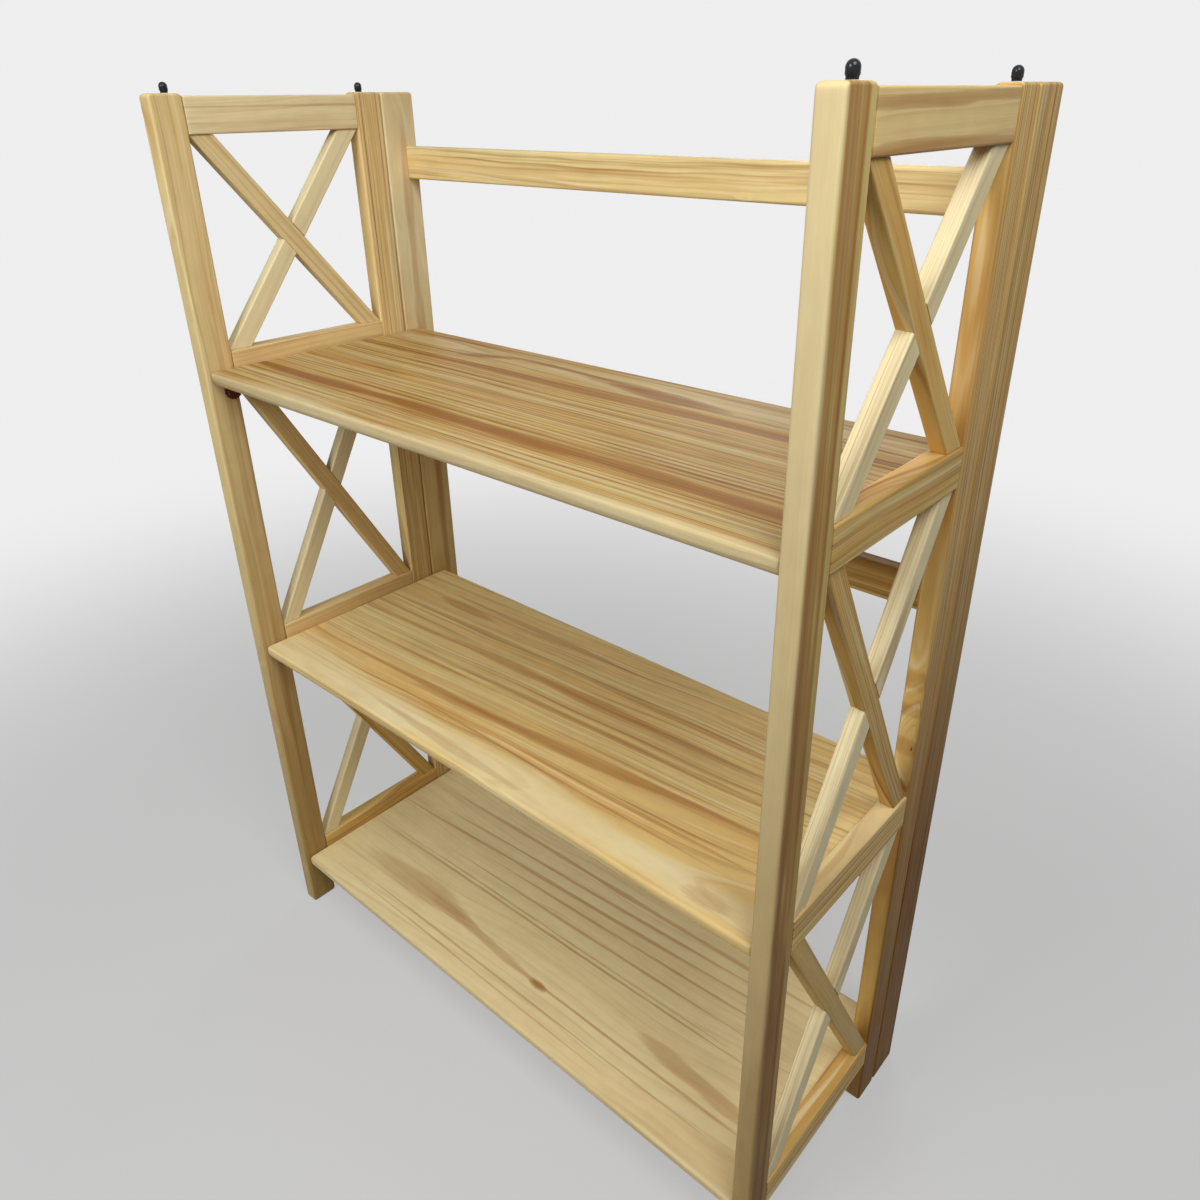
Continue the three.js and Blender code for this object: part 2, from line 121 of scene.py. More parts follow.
LOOKS = {
    # The top shelf's browning is partly old lacquer and partly painted shade, and its first band, pale sapwood along
    # the nose, is also a painted highlight where the nose faces the light.
    "top_shelf": pine(
        pitch=4.6, pith=(96, -44), warmth=0.28, contrast=1.0, wander=0.3, seed=11, aged=0.65,
        strokes=(
            band(-136, 14, -1.0), (90, -74, 440, 9, 0, 1.0), (-240, -76, 190, 7, 0, 0.7), band(96, 22, -0.4),
            (60, 55, 520, 8, 0.008, 0.8), (-163, 88, 34, 8, 0.3, 0.85), (-60, 99, 84, 4.5, -0.03, 0.9),
            (76, 86, 68, 12, -0.06, 1.0), band(118, 3, 0.45), band(8, 1.6, -0.8), band(3, 1.2, -0.7),
            band(-28, 1.4, -0.6), band(-104, 1.3, -1.0), band(-97, 1.1, -0.9), band(-112, 1.2, -0.8),
            band(-88, 3, 0.4), band(-58, 2, 0.4), band(37, 1.6, 0.36), band(34, 1.2, -0.6), band(27, 1.6, 0.34),
            band(24, 1.2, -0.5), band(18, 1.8, 0.36), band(-2, 1.8, 0.36), band(-12, 1.5, 0.34), band(-15, 1.2, -0.5),
            band(-22, 1.8, 0.36), band(-34, 1.5, 0.34), band(-37, 1.2, -0.5), band(-46, 1.8, 0.36),
            band(-49, 1.2, -0.5), band(-100, 1.4, 0.34), band(-108, 1.4, 0.34))),
    "middle_shelf": pine(
        pitch=8, pith=(-120, -90), warmth=0.34, contrast=0.6, wander=0.5, seed=23, lean=0.06,
        strokes=(
            band(0, 300, -0.15), band(-112, 18, -0.45), (-40, -115, 180, 7, -0.03, 0.32),
            (277, -115, 30, 11, 0, 0.34), (50, -84, 270, 1.8, 0, 0.45), (30, 28, 240, 9, 0.04, 0.48),
            (60, -48, 240, 8, 0.11, 0.48), (-60, -12, 220, 5, 0.05, 0.45), (120, 62, 220, 6, 0.02, 0.42),
            (-224, 76, 60, 9, 0, 0.42), (180, 2, 170, 4, 0.05, 0.45), (-200, 50, 140, 4, 0.04, 0.48),
            (150, -72, 170, 3, 0.03, 0.45), (-100, 95, 200, 5, 0.02, 0.38), (-120, -60, 180, 4, 0.05, 0.45),
            (-200, -30, 130, 3, 0.05, 0.45), (240, -30, 110, 3, 0.06, 0.45), (230, 90, 110, 4, 0.02, 0.4))),
    "bottom_shelf": pine(
        pitch=17, pith=(-250, 130), warmth=0.3, contrast=0.35, wander=0.5, seed=37, lean=0.05,
        strokes=(
            band(0, 300, -0.65), (-190, -68, 112, 21, 0, 0.36), (-60, -73, 120, 7, -0.05, 0.38),
            (170, -77, 150, 2.0, 0, 0.6), (235, -58, 90, 10, -0.08, 0.46), (-20, -20, 330, 1.7, 0.03, 0.62),
            (-20, -14, 330, 1.3, 0.03, 0.5), (-30, 42, 340, 2.8, 0.064, 0.55), (0, 62, 300, 2.4, 0.06, 0.55),
            (60, 30, 240, 2.2, 0.05, 0.5), (40, 8, 280, 2.0, 0.04, 0.5), (0, 84, 340, 3.4, 0.03, 0.5),
            (0, -100, 340, 1.6, 0.01, 0.5), (-60, -112, 260, 1.4, 0.0, 0.45), (35, -78, 10, 4.5, 0, 0.7))),
    "top_back_rail": pine(
        pitch=11, pith=(-70, 12), warmth=0.22, contrast=0.8, wander=0.5, seed=41,
        strokes=(wash(-0.35), band(9, 1.5, 0.36), band(1, 1.7, 0.38), band(-7, 1.4, 0.34)),
        knots=((112, -13, 1.0, 1.9, 1.6, False),)),
    "middle_back_rail": pine(
        pitch=8, pith=(60, 20), warmth=0.45, contrast=0.85, wander=0.7, seed=43, strokes=(band(13, 5, 0.6),)),
    "bottom_back_rail": pine(
        pitch=8, pith=(-50, 20), warmth=0.5, contrast=0.7, wander=1.0, seed=47),
    # The left front post's pale wash is partly sapwood and partly painted light on the left frame's inner face, and
    # its foot is painted shade, darker toward the low end.
    "left_front_post": pine(
        pitch=10, pith=(70, 4), warmth=0.42, contrast=0.5, wander=0.7, seed=53, foot=(0.6, 1.2),
        strokes=(wash(-0.4), (-180, 2, 160, 5, 0.01, 0.35), (200, 5, 220, 4, 0, 0.3))),
    "left_rear_post": pine(
        pitch=5.6, pith=(-90, 0), warmth=0.45, contrast=0.95, wander=0.3, seed=59, strokes=(wash(-0.3),)),
    # The stile's pale strokes are partly sapwood and partly painted light on the left frame's inner face.
    "left_stile": pine(
        pitch=9, pith=(8, -44), warmth=0.55, contrast=0.6, wander=0.7, seed=61,
        figures=((330, 0, 90, 8, 1.6), (120, 6, 120, 7, 1.2)),
        strokes=(
            (370, 0, 170, 60, 0, -0.8), (330, 2, 150, 7, 0.01, 0.4), (60, 0, 170, 26, 0, 0.2),
            (60, 0, 170, 60, 0, -0.3), (0, 6, 260, 4, 0.01, 0.35))),
    # On the right frame, the browning of whole boards and their browner feet are painted shade, on faces turned from
    # the light.
    "right_front_post": pine(
        pitch=11, pith=(70, 0), warmth=0.08, contrast=0.5, wander=0.3, seed=67, foot=(0.8, 1.0), aged=0.4,
        strokes=(band(-17, 4, -0.8), band(-8, 4.5, 0.85), band(0, 3, 0.5), band(5, 1.2, 1.0))),
    "right_rear_post": pine(
        pitch=2.7, pith=(90, 0), warmth=0.5, contrast=1.1, wander=0.1, seed=71, foot=(0.4, 1.6),
        strokes=(
            (330, -15, 240, 1.6, 0, 0.36), (-20, -16, 11, 3, 0, 0.4), (16, -16, 9, 3, 0, 0.34),
            (46, -16, 12, 3, 0, 0.32), (-60, -16, 9, 3, 0, 0.4)), knots=((-20, 5, 1.6, 17, 1.2, True),)),
    "right_stile": pine(
        pitch=6.0, pith=(-110, 10), warmth=0.45, contrast=1.1, wander=0.2, seed=73, foot=(0.6, 1.9), aged=0.2,
        strokes=(band(-12, 5, 0.3), band(12, 6, 0.3))),
    # The left frame's top rail is washed paler, partly as sapwood and partly as painted light.
    "left_top_rail": pine(
        pitch=15, pith=(60, 16), warmth=0.7, contrast=0.6, wander=0.5, seed=79,
        strokes=(wash(-0.8), band(7, 2, 0.36), band(2, 1.5, 0.34), band(-8, 2, 0.34))),
    "left_upper_rail": pine(
        pitch=13, pith=(60, 20), warmth=0.6, contrast=0.45, wander=0.6, seed=103, strokes=(wash(-0.4),)),
    "left_top_falling_brace": pine(
        pitch=11, pith=(60, 12), warmth=0.5, contrast=0.5, wander=0.7, seed=107,
        strokes=(wash(-0.5), band(4, 2, 0.34))),
    # Washed paler, partly as sapwood and partly as painted light under the top shelf.
    "left_middle_falling_brace": pine(
        pitch=11, pith=(60, 12), warmth=0.6, contrast=0.4, wander=0.6, seed=109, strokes=(wash(-0.3),)),
    "left_lower_rail": pine(
        pitch=12, pith=(60, 20), warmth=0.5, contrast=0.4, wander=0.6, seed=127, strokes=(wash(-0.4),)),
    "right_middle_falling_brace": pine(
        pitch=5, pith=(50, 10), warmth=0.45, contrast=1.0, wander=0.5, seed=131, aged=0.35),
    "right_bottom_falling_brace": pine(
        pitch=9, pith=(60, 14), warmth=0.35, contrast=0.35, wander=0.5, seed=137, aged=0.4),
    "right_top_rail": pine(
        pitch=15, pith=(-70, 12), warmth=0.45, contrast=0.3, wander=0.4, seed=83,
        strokes=((0, 10, 200, 3.6, 0.02, 0.6), (0, -14, 200, 4, 0, 0.75), wash(-0.3))),
    "right_upper_rail": pine(
        pitch=9, pith=(-60, 16), warmth=0.45, contrast=0.8, wander=0.5, seed=89, aged=0.3),
    "right_lower_rail": pine(
        pitch=5.5, pith=(-50, 14), warmth=0.4, contrast=0.95, wander=0.4, seed=97, strokes=(band(17, 3, -0.5),)),
    "right_bottom_rail": pine(
        pitch=7, pith=(-40, 20), warmth=0.5, contrast=0.9, wander=0.6, seed=101),
}


def look_of(name, seed):
    """A board's own look, or a plain one varied a little by a seeded draw."""
    if name in LOOKS:
        return LOOKS[name]
    draw = np.random.default_rng(seed)
    warmth = 0.55 if "falling" in name else 0.12 if "rising" in name else draw.uniform(0.35, 0.65)
    drawn = pine(
        seed=seed, warmth=warmth, pitch=draw.uniform(7, 11),
        pith=(draw.choice((-1, 1)) * draw.uniform(40, 80), draw.uniform(5, 30)),
        contrast=draw.uniform(0.5, 0.75), wander=draw.uniform(0.5, 0.9))
    if "rising" in name:
        # The wash is partly sapwood and, on the left frame's braces, partly painted light where they lie under the
        # shelves.
        drawn.update(contrast=0.35, strokes=(wash(-0.9),))
        if name.startswith("right"):
            # Sawn so that its lines lie on its narrow front, and its outer face is plain
            drawn.update(pitch=4.6, pith=(draw.uniform(-8, 8), 60), contrast=1.3)
    return drawn


# Shapes, in millimetres

CORNER_STEPS, BRACE_CORNER_STEPS = 5, 4  # steps round a corner of the section
FLAT_LEAD = 0.6  # how far inside a flat its outermost points lie, so that its corners keep their shape
END_SHARE = 0.8  # size of the ring inside a board's flat end, as a share of the end
LAP_RINGS = 5  # rings along a halved joint
GLUE_LINE = 0.3  # gap between two boards, or between a fitting and its board
SHARP_EDGE = math.radians(35)  # what bends more than this shows as an edge

SINES, PERIODS, MOST_LEAN = 6, (220, 900), 0.003  # of a wave: how many, how long, and turns for a millimetre across
SECOND_SHARE, SECOND_RATE = 0.4, 2.2  # of the second wave in a board's wander, beside the first
TONGUE_SWAY = 4  # how far a figure's middle strays
STROKE_SWAY = 0.25  # how far a stroke strays, beside 1 mm, as a share of its width
STROKE_SWELL, SWELL_RATE = 0.5, 2.6  # how far its width swells, as a share, and how much quicker than it strays
KNOT_STRETCH, NARROW_KNOT_STRETCH = 1.5, 3  # how much longer than wide a knot lies, on a wide and on a narrow face
KNOT_EDGE, KNOT_CALM = 0.9, 0.2  # a knot's edge in radii, and how much it softens the lines of a narrow face
NARROW_REACH = 5  # how far a knot on a narrow face reaches round onto the wide ones
# The browner foot is painted shade.
OUTER_SKIN = 2  # how deep the browner foot of the face toward +X goes in
NOISE_STEP, NOISE_PLACES = 700.0, 29  # boards take their noise from this many places, so far apart
SEED_SECOND, SEED_TONGUE, SEED_STROKE, SEED_SWELL = 2, 5, 7, 11  # added to a board's seed for its other waves


def wave(along, across, seed):
    """A smooth wander from -1 to 1: the mean of a few sines, each with its own seeded period, lean and start."""
    draw = np.random.default_rng(seed)
    total = np.zeros_like(along)
    for _ in range(SINES):
        period, lean, start = (draw.uniform(*ends) for ends in (PERIODS, (-MOST_LEAN, MOST_LEAN), (0, 2 * math.pi)))
        total += np.sin(2 * math.pi * (along / period + lean * across) + start)
    return total / SINES


def rounded_section(width, height, radii, spacing, steps):
    """A rectangle about zero whose corners, from low left and counter-clockwise, are quarter circles: each is
    its centre plus its radius times (cos a, sin a). The flats between get points no further apart than spacing."""
    centres = ((-1, -1, 1.0), (1, -1, 1.5), (1, 1, 0.0), (-1, 1, 0.5))
    arcs = []
    for (side, tier, begin), radius in zip(centres, radii):
        angle = math.pi * (begin + np.linspace(0, 0.5, steps + 1))
        middle = np.array([side * (width / 2 - radius), tier * (height / 2 - radius)])
        arcs.append(middle + radius * np.stack([np.cos(angle), np.sin(angle)], 1))
    outline = []
    for arc, following in zip(arcs, arcs[1:] + arcs[:1]):
        run = np.linalg.norm(following[0] - arc[-1])
        lead = min(FLAT_LEAD, run / 4)
        inner = np.linspace(lead, run - lead, max(2, math.ceil(run / spacing) + 1)) / run
        outline += [arc, arc[-1] + (following[0] - arc[-1]) * inner[:, None]]
    return np.concatenate(outline)


def drawn_in(distance, radius):
    """How far a quarter circle has drawn the side in at a distance from the end: r minus root(2 r d - d d)."""
    inside = np.clip(distance, 0, radius)
    return radius - np.sqrt(2 * radius * inside - inside ** 2)


def stations(length, radii, spacing, steps):
    """Distances along a board: a quarter circle's even angles at each end, and even steps between."""
    turn = 1 - np.cos(np.linspace(0, math.pi / 2, steps + 1))
    ends = np.concatenate([radius * turn for radius in radii])
    reach = max(radii)
    middle = np.linspace(reach, length - reach, max(2, math.ceil((length - 2 * reach) / spacing) + 1))
    return np.unique(np.round(np.concatenate([ends, middle, length - ends]), 4))


def board_rings(board):
    """A board's surface over (distance along, place round the section): the middle line's point, plus the
    section's across times (W/2 - draw W) / (W/2), plus its through times (T/2 - draw T) / (T/2)."""
    width, thickness, length = board["width"], board["thickness"], board["length"]
    end_across, end_through = board["end_round"]
    section = rounded_section(width, thickness, board["edge_round"], board["spacing"][1], CORNER_STEPS)
    place = stations(length, (end_across, end_through), board["spacing"][0], CORNER_STEPS)
    from_end = np.minimum(place, length - place)
    across = 1 - drawn_in(from_end, end_across) / (width / 2)
    through = 1 - drawn_in(from_end, end_through) / (thickness / 2)
    place = np.concatenate([place[:1], place, place[-1:]])
    across, through = (np.concatenate([size[:1] * END_SHARE, size, size[-1:] * END_SHARE])
                       for size in (across, through))
    return (board["middle"] + (place - length / 2)[:, None, None] * board["along"]
            + (across[:, None] * section[:, 0])[..., None] * board["across"]
            + (through[:, None] * section[:, 1])[..., None] * board["through"])


def brace_rings(board, kept):
    """A brace's surface over (height, place round the level section). Its middle line leans by slope, and a
    ring of height z and tilt k is at z + k q for a point q across. The rings where the two braces cross tilt
    with the other brace's edges, k = -1 / (2 slope), and between them the section keeps only the half of
    the thickness on the kept side."""
    foot, height, slope = board["foot"], board["height"], board["slope"]
    half_gap = GLUE_LINE / 2
    section = rounded_section(foot, board["thickness"], board["edge_round"], board["spacing"][1], BRACE_CORNER_STEPS)
    halved = section.copy()
    halved[:, 1] = np.maximum(halved[:, 1] * kept, half_gap) * kept
    lap = foot / (4 * abs(slope)) + half_gap
    tilt = -1 / (2 * slope)
    outer = np.linspace(-height / 2, -lap, max(2, math.ceil((height / 2 - lap) / board["spacing"][0])))
    ease = np.linspace(0, 1, len(outer)) ** 2
    inner = np.linspace(-lap, lap, LAP_RINGS)
    level = np.concatenate([outer[:1], outer, inner, -outer[::-1], -outer[:1]])
    tilts = tilt * np.concatenate([[0], ease, np.ones(LAP_RINGS), ease[::-1], [0]])
    size = np.ones(len(level))
    size[[0, -1]] = END_SHARE
    cut = np.zeros(len(level), bool)
    cut[len(outer) + 1:len(outer) + 1 + LAP_RINGS] = True
    shape = np.where(cut[:, None, None], halved, section) * size[:, None, None]
    q, t = shape[..., 0], shape[..., 1]
    z = level[:, None] + tilts[:, None] * q
    middle = board["middle"]
    return np.stack([middle[0] + t, middle[1] + slope * z + q, middle[2] + z], 2)


def turned_rings(profile, sides, start, along, across, flutes=0, groove=0.0):
    """A turned piece's surface over (profile point, angle): start + h along + r cos a across + r sin a sideways.
    Flutes draw it in by groove times sin squared of half the flutes times a."""
    angle = np.linspace(0, 2 * math.pi, sides, endpoint=False)
    radius, height = np.array(profile, float).T
    drawn = 1 - groove * np.sin(flutes * angle / 2)[:, None] ** 2
    round_it = drawn * (np.cos(angle)[:, None] * across + np.sin(angle)[:, None] * np.cross(along, across))
    return start + height[:, None, None] * along + radius[:, None, None] * round_it


def skin(rings):
    """Points and faces of a closed skin over rings: four-sided faces from ring to ring, and a fan of
    triangles to the middle of the first and last. Its signed volume turns every face outwards."""
    count, around = rings.shape[:2]
    points = np.concatenate([rings.reshape(-1, 3), rings[:1].mean(1), rings[-1:].mean(1)])
    ring, step = np.meshgrid(np.arange(count - 1) * around, np.arange(around), indexing="ij")
    after = (step + 1) % around
    quads = np.stack([ring + step, ring + after, ring + around + after, ring + around + step], 2).reshape(-1, 4)
    step = np.arange(around)
    after = (step + 1) % around
    last = (count - 1) * around
    fans = np.concatenate([
        np.stack([after, step, np.full(around, count * around)], 1),
        np.stack([last + step, last + after, np.full(around, count * around + 1)], 1)])
    split = np.concatenate([quads[:, [0, 1, 2]], quads[:, [0, 2, 3]], fans])
    a, b, c = (points[split[:, i]] for i in range(3))
    if np.einsum("ij,ij->", a, np.cross(b, c)) < 0:
        quads, fans = quads[:, ::-1], fans[:, ::-1]
    return points, quads, fans


def piece(name, rings, material, body, nodes):
    """A named object at the origin made of a closed skin, standing for its CAD nodes and riding on a body."""
    points, quads, fans = skin(rings)
    mesh = bpy.data.meshes.new(name)
    mesh.from_pydata((points * MM).tolist(), [], quads.tolist() + fans.tolist())
    mesh.polygons.foreach_set("use_smooth", np.ones(len(mesh.polygons), bool))
    mesh.set_sharp_from_angle(angle=SHARP_EDGE)
    made = bpy.data.objects.new(name, mesh)
    bpy.context.scene.collection.objects.link(made)
    made.data.materials.append(material)
    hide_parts(*nodes)
    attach(made, body)
    return made, points


def give(mesh, name, *values):
    """A named vector on every point of a mesh, from its three components."""
    attribute = mesh.attributes.new(name, "FLOAT_VECTOR", "POINT")
    attribute.data.foreach_set("vector", np.stack(values, 1).astype(np.float32).ravel())


def grow(mesh, points, board, look):
    """Gives a board its wood. grain is the place along, across and through it in millimetres, moved along by
    its seed. pith is the place from the tree's middle in rings, then the rings' wander: each figure adds
    rise * exp(-(l/L)^2 - (w/W)^2). marks is heart stain, sapwood and knot, the sapwood also carrying painted light
    on some boards: each stroke adds depth * exp(-((l/L)^2 + ((w - lean l)/W)^2)^2) to the stain, or to the sapwood
    if its depth is below zero. Each knot adds rise * exp(-(a/reach)^2) to the wander and exp(-(a/(0.9 radius))^4)
    to the knot, a being the distance from it, and a knot on the narrow face softens its lines. tone is warmth,
    contrast and browning: the board's browning from age and painted shade, plus painted shade which rises as a
    smooth step toward the low end."""
    local = points - board["middle"]
    along, across, through = local @ board["along"], local @ board["across"], local @ board["through"]
    seed, still = look["seed"], np.zeros_like(along)
    wander = look["wander"] * (
        wave(along, across, seed) + SECOND_SHARE * wave(along * SECOND_RATE, across, seed + SEED_SECOND))
    stain, sapwood_and_painted_light, knot, calm = still.copy(), still.copy(), still.copy(), still + 1
    for at, side, long, wide, rise in look["figures"]:
        bend = side + TONGUE_SWAY * wave(along, still, seed + SEED_TONGUE)
        wander += rise * np.exp(-((along - at) / long) ** 2 - ((across - bend) / wide) ** 2)
    for number, (at, side, long, wide, lean, depth) in enumerate(look["strokes"]):
        drift = side + lean * (along - at) + (1 + STROKE_SWAY * wide) * wave(along, still, seed + SEED_STROKE)
        breadth = wide * (1 + STROKE_SWELL * wave(along * SWELL_RATE, still, seed + SEED_SWELL + number))
        mark = depth * np.exp(-(((along - at) / long) ** 2 + ((across - drift) / breadth) ** 2) ** 2)
        stain += np.maximum(mark, 0)
        sapwood_and_painted_light += np.maximum(-mark, 0)
    for at, side, radius, reach, rise, narrow in look["knots"]:
        stretch = NARROW_KNOT_STRETCH if narrow else KNOT_STRETCH
        away = np.hypot((along - at) / stretch, (through if narrow else across) - side)
        near = np.exp(-((across + np.ptp(across) / 2) / NARROW_REACH) ** 2) if narrow else 1
        wander += near * rise * np.exp(-(away / reach) ** 2)
        knot += near * np.exp(-(away / (KNOT_EDGE * radius)) ** 4)
        calm -= KNOT_CALM * near if narrow else 0
    # Painted shade: the low end is browned, by one amount on most faces and another on the face toward +X.
    low = np.clip(0.5 - along / board_length(board), 0, 1)
    outer = np.exp(-((through - board["thickness"] / 2) / OUTER_SKIN) ** 2)
    foot = look["foot"][0] + (look["foot"][1] - look["foot"][0]) * outer
    give(mesh, "grain", along + NOISE_STEP * (seed % NOISE_PLACES), across, through)
    give(mesh, "pith", (across - look["lean"] * along - look["pith"][0]) / look["pitch"],
         (through - look["pith"][1]) / look["pitch"], wander + seed)
    give(mesh, "marks", stain, sapwood_and_painted_light, knot)
    give(mesh, "tone", still + look["warmth"], look["contrast"] * calm,
         look["aged"] + foot * low ** 2 * (3 - 2 * low))


def board_length(board):
    """A board's length, or for a leaning brace its height."""
    return board.get("length", board.get("height"))


def box_mm(node):
    """A CAD node's lowest and highest corners at rest, in millimetres."""
    low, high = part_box(node)
    return np.array(low) / MM, np.array(high) / MM


def board_between(low, high, along, across, through, **more):
    """A board that fills a box: its own directions pick length, width and thickness from the box."""
    size = high - low
    return {"middle": (low + high) / 2, "along": along, "across": across, "through": through,
            "length": abs(size @ along), "width": abs(size @ across), "thickness": abs(size @ through), **more}


def wooden(name, board, rings, body, seed):
    """A wooden piece, with its skin and its figure."""
    made, points = piece(name + "_pine", rings, bpy.data.materials["clear_lacquered_pine"],
                         body, [name])
    grow(made.data, points, board, look_of(name, seed))


# Finishes

FIRST, SECOND, MIXED = 6, 7, 2  # a Mix node's sockets for colours: the two that go in, and the one that comes out


def feed(made, inputs):
    """Sets a node's inputs, by name or in order. Each is a value for its socket, another node's output to link,
    or another node, which stands for its first output."""
    for key, value in inputs.items() if isinstance(inputs, dict) else enumerate(inputs):
        if isinstance(value, bpy.types.Node):
            value = value.outputs[0]
        if isinstance(value, bpy.types.NodeSocket):
            made.id_data.links.new(value, made.inputs[key])
        else:
            made.inputs[key].default_value = value


def node(tree, kind, inputs=(), **settings):
    """Adds a shader node of a kind, with its settings and its inputs."""
    made = tree.nodes.new("ShaderNode" + kind)
    for key, value in settings.items():
        setattr(made, key, value)
    feed(made, inputs)
    return made


def fresh(name):
    """A new node material, what adds a node to it, and the Principled shader on its output."""
    material = bpy.data.materials.new(name)
    material.use_nodes = True
    material.node_tree.nodes.clear()
    add = partial(node, material.node_tree)
    shader = add("BsdfPrincipled")
    add("OutputMaterial", {"Surface": shader})
    return material, add, shader


def stops(ramp, points):
    """Sets a colour ramp's stops from (place, grey level) pairs."""
    while len(ramp.elements) < len(points):
        ramp.elements.new(1.0)
    for element, (at, level) in zip(ramp.elements, points):
        element.position = at
        element.color = (level, level, level, 1)


def seen_straight(tree):
    """1 for what the camera sees, also in a mirror or through glass, and 0 for what only lights things."""
    path = node(tree, "LightPath").outputs
    mirrored = node(tree, "Math", (path["Is Glossy Ray"], path["Is Transmission Ray"]), operation="MAXIMUM")
    return node(tree, "Math", (path["Is Camera Ray"], mirrored), operation="MAXIMUM")


def clear_lacquered_pine(colours, sizes):
    """Radiata pine, planed, sanded and sprayed with clear satin lacquer. Soft straw spring wood deepens slowly
    into each year's narrow brown summer line and stops there sharply; the lacquer adds a soft even sheen."""
    material, add, shader = fresh("clear_lacquered_pine")
    grain, pith, marks, tone = [add("Attribute", attribute_name=name).outputs["Vector"]
                                for name in ("grain", "pith", "marks", "tone")]
    aside, inward, wander = add("SeparateXYZ", (pith,)).outputs
    stain, sapwood_and_painted_light, knot = add("SeparateXYZ", (marks,)).outputs
    warmth, contrast, browned = add("SeparateXYZ", (tone,)).outputs
    from_pith = add("VectorMath", (add("CombineXYZ", (aside, inward)),), operation="LENGTH").outputs["Value"]

    def noise(along, across, detail, rough=0.5):
        """Noise whose blobs are so many millimetres long and wide."""
        place = add("VectorMath", (grain, (1 / along, 1 / across, 1 / across)), operation="MULTIPLY")
        return add("TexNoise", {"Vector": place, "Scale": 1.0, "Detail": detail, "Roughness": rough})

    # Years differ in width, by a swing that comes round about every third year
    year_pace, year_swing = 0.37, 1.6
    rings = add("Math", (from_pith, wander), operation="ADD")
    uneven = add("TexNoise", {"W": add("Math", (rings, year_pace), operation="MULTIPLY"), "Scale": 1.0,
                              "Detail": 1.0}, noise_dimensions="1D")
    rings = add("Math", (uneven, year_swing, rings), operation="MULTIPLY_ADD")
    # Each line bows by up to half a ring, and shivers by a fraction of a millimetre
    for long, wide, detail, reach in ((420, 30, 0, 0.5), (120, 5, 1, 0.06)):
        rings = add("Math", (noise(long, wide, detail), reach, rings), operation="MULTIPLY_ADD")

    def streak(along, per_ring, low, high, offset):
        """Soft strokes so many millimetres long that keep to the rings, so many to each ring: noise that starts
        to show at low and shows fully at high."""
        place = add("CombineXYZ", (
            add("Math", (add("SeparateXYZ", (grain,)), 1 / along), operation="MULTIPLY"),
            add("Math", (rings, per_ring), operation="MULTIPLY"), offset))
        cloud = add("TexNoise", {"Vector": place, "Scale": 1.0, "Detail": 2.0})
        return add("MapRange", (cloud, low, high), interpolation_type="SMOOTHSTEP")

    broad = streak(260, 1.1, 0.48, 0.62, 0.0)
    thin = streak(240, 4.2, 0.5, 0.61, 5.0)
    # Painted glints: thin pale streaks along the rings, standing for the lacquer's shine on raised lines.
    glint_streaks = streak(300, 3.1, 0.56, 0.64, 13.0)
    fading = streak(150, 0.9, 0.3, 0.62, 9.0)
    year = add("Math", (rings,), operation="FLOOR")
    season = add("Math", (rings,), operation="FRACT")
    draw = add("TexWhiteNoise", {"W": year}, noise_dimensions="1D")
    _, bend, year_warmth = add("SeparateColor", (draw.outputs["Color"],)).outputs
    # A power from 0.8 to 3.2 bends the season's curve, and makes some summer lines wide and others thin
    season = add("Math", (season, add("Math", (bend, 2.4, 0.8), operation="MULTIPLY_ADD")), operation="POWER")
    summer = add("ValToRGB", (season,))
    stops(summer.color_ramp, ((0.0, 0.0), (0.35, 0.06), (0.66, 0.36), (0.84, 1.0), (0.94, 0.95), (1.0, 0.0)))
    # A line is 0.4 to 1 strong by its year, and fades to a quarter of that in places
    strength = add("Math", (draw.outputs["Value"], 0.6, 0.4), operation="MULTIPLY_ADD")
    faded = add("Math", (fading, 0.75, 0.25), operation="MULTIPLY_ADD")
    strength = add("Math", (strength, faded), operation="MULTIPLY")
    line = add("Math", (summer, strength), operation="MULTIPLY")
    # Streaks darken it, and sapwood is plainer, as is the painted light that shares its mask
    for streaks, share in ((broad, 0.36), (thin, 0.34)):
        line = add("Math", (streaks, share, line), operation="MULTIPLY_ADD")
    plainer = add("Math", (sapwood_and_painted_light, -0.7, 1.0), operation="MULTIPLY_ADD", use_clamp=True)
    line = add("Math", (line, plainer), operation="MULTIPLY")
    line = add("Math", (line, contrast), operation="MULTIPLY", use_clamp=True)

    # Warmth goes with the board, the year and a slow drift
    drift = add("Math", (noise(340, 34, 2), -0.65), operation="ADD")
    drift = add("Math", (year_warmth, 0.3, drift), operation="MULTIPLY_ADD")
    warm = add("Math", (warmth, drift), operation="ADD", use_clamp=True)
    # How far each layer of colour hides what is under it
    most_cream, most_gleam, most_heart, most_aged = 0.9, 0.55, 0.85, 0.6
    # Cream over the sapwood, which on some boards is also painted light.
    pale = add("Math", (sapwood_and_painted_light, most_cream), operation="MULTIPLY", use_clamp=True)
    # Cream over the glint streaks, as painted glints.
    gleam = add("Math", (add("Math", (glint_streaks, contrast), operation="MULTIPLY"), most_gleam), operation="MULTIPLY")
    # A stain has a clear but ragged edge, and is streaky inside, from 0.6 to 1.3 of its strength
    ragged = add("Math", (stain, -0.125), operation="ADD")
    ragged = add("Math", (noise(60, 2.5, 3), 0.25, ragged), operation="MULTIPLY_ADD")
    edge = add("MapRange", (ragged, 0.16, 0.36), interpolation_type="SMOOTHSTEP")
    heart = add("Math", (edge, add("Math", (stain, 0.85, 0.15), operation="MULTIPLY_ADD")), operation="MULTIPLY")
    streaky = add("Math", (noise(200, 4, 3), 0.7, 0.6), operation="MULTIPLY_ADD")
    heart = add("Math", (heart, streaky), operation="MULTIPLY", use_clamp=True)
    heart = add("Math", (heart, most_heart), operation="MULTIPLY")
